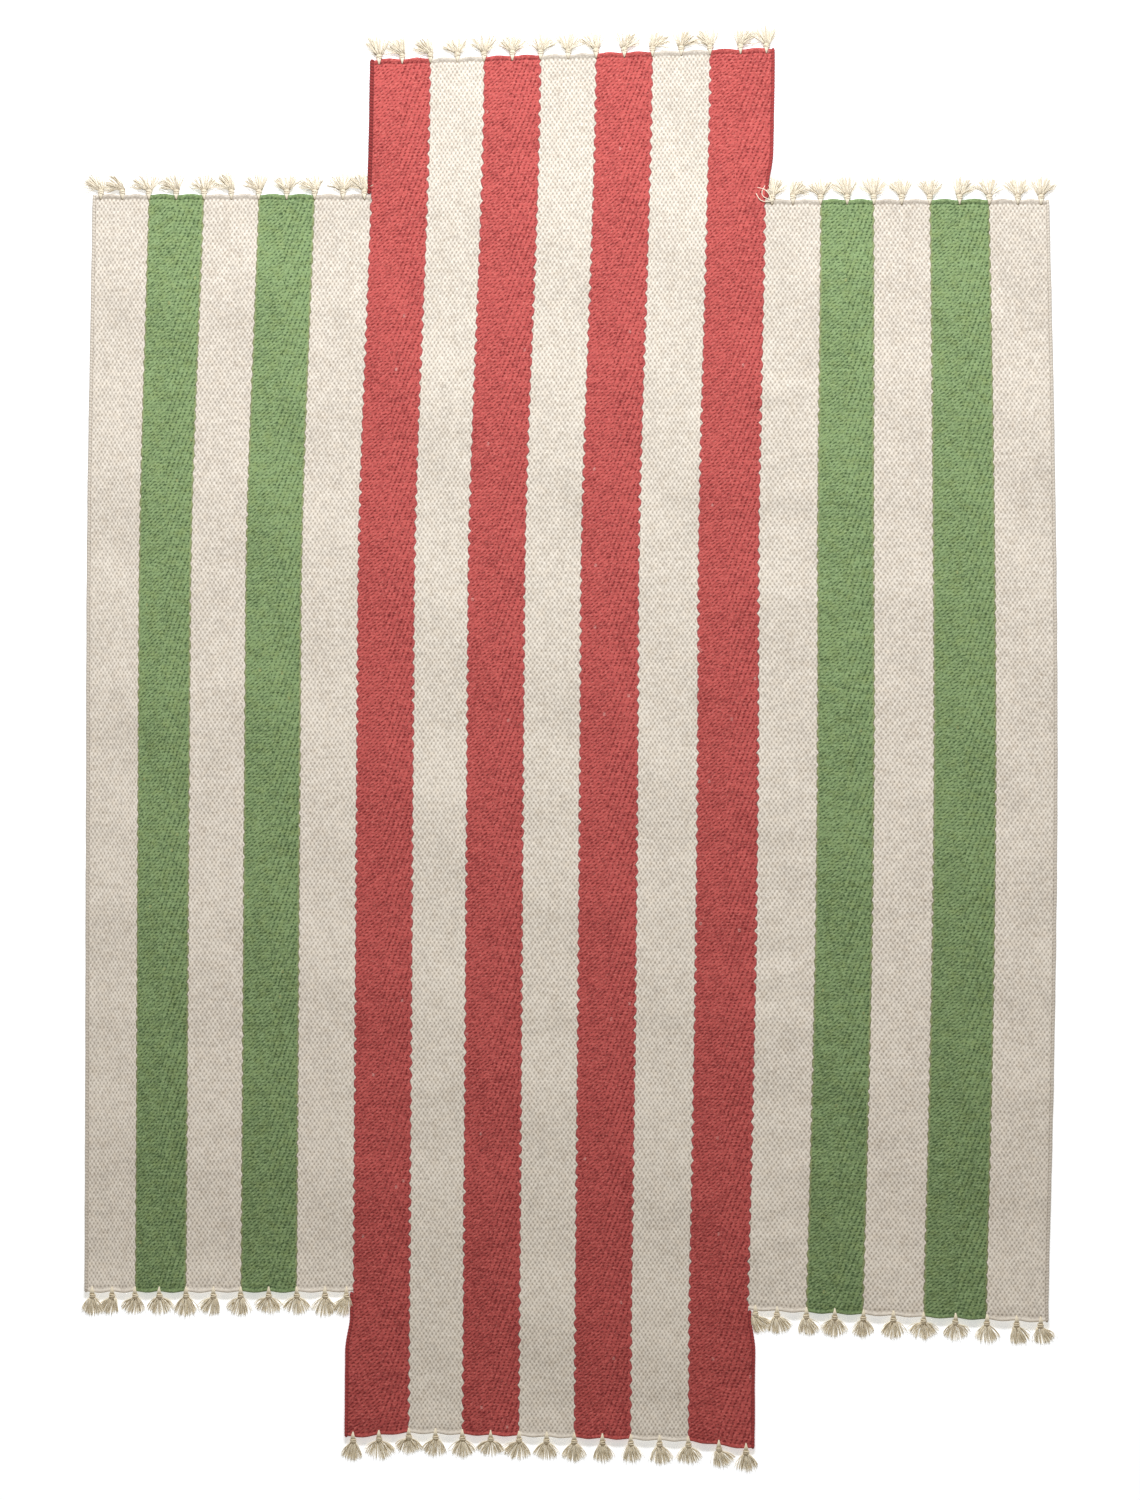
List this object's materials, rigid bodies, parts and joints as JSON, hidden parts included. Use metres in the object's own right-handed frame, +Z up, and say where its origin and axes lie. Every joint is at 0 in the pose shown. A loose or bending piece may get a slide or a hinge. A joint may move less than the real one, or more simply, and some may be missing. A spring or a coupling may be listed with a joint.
{
  "type": "flat-woven striped rug",
  "caption": "Plus-shaped flat-woven rug: a long striped centre runner with a shorter striped panel on each side, scalloped stripe edges and knotted tassel fringes.",
  "frame": {"origin": "centre of the rug's box on the floor it lies on", "axes": "+Z up off the floor; +Y along the stripes and the centre panel, towards its top end; +X across the stripes"},
  "size_m": [1.7246, 2.553, 0.0074],
  "materials": {
    "cream_wool": "matt hand-woven weft",
    "green_wool": "matt hand-woven weft",
    "red_wool": "matt hand-woven weft",
    "cotton_yarn": "undyed cotton yarn"
  },
  "bodies": {
    "root": {"centre_selvedge_bottom_left": "red_wool", "centre_selvedge_bottom_right": "red_wool", "centre_selvedge_top_left": "red_wool", "centre_selvedge_top_right": "red_wool", "centre_stripe_1_red": "red_wool", "centre_stripe_2_cream": "cream_wool", "centre_stripe_3_red": "red_wool", "centre_stripe_4_cream": "cream_wool", "centre_stripe_5_red": "red_wool", "centre_stripe_6_cream": "cream_wool", "centre_stripe_7_red": "red_wool", "centre_warp_01": "cotton_yarn", "centre_warp_02": "cotton_yarn", "centre_warp_03": "cotton_yarn", "centre_warp_04": "cotton_yarn", "centre_warp_05": "cotton_yarn", "centre_warp_06": "cotton_yarn", "centre_warp_07": "cotton_yarn", "centre_warp_08": "cotton_yarn", "centre_warp_09": "cotton_yarn", "centre_warp_10": "cotton_yarn", "centre_warp_11": "cotton_yarn", "centre_warp_12": "cotton_yarn", "centre_warp_13": "cotton_yarn", "centre_warp_14": "cotton_yarn", "centre_warp_15": "cotton_yarn", "left_selvedge": "cream_wool", "left_stripe_1_cream": "cream_wool", "left_stripe_2_green": "green_wool", "left_stripe_3_cream": "cream_wool", "left_stripe_4_green": "green_wool", "left_stripe_5_cream": "cream_wool", "left_warp_01": "cotton_yarn", "left_warp_02": "cotton_yarn", "left_warp_03": "cotton_yarn", "left_warp_04": "cotton_yarn", "left_warp_05": "cotton_yarn", "left_warp_06": "cotton_yarn", "left_warp_07": "cotton_yarn", "left_warp_08": "cotton_yarn", "left_warp_09": "cotton_yarn", "left_warp_10": "cotton_yarn", "left_warp_11": "cotton_yarn", "right_selvedge": "cream_wool", "right_stripe_1_cream": "cream_wool", "right_stripe_2_green": "green_wool", "right_stripe_3_cream": "cream_wool", "right_stripe_4_green": "green_wool", "right_stripe_5_cream": "cream_wool", "right_warp_01": "cotton_yarn", "right_warp_02": "cotton_yarn", "right_warp_03": "cotton_yarn", "right_warp_04": "cotton_yarn", "right_warp_05": "cotton_yarn", "right_warp_06": "cotton_yarn", "right_warp_07": "cotton_yarn", "right_warp_08": "cotton_yarn", "right_warp_09": "cotton_yarn", "right_warp_10": "cotton_yarn", "right_warp_11": "cotton_yarn"}
  },
  "joints": []
}
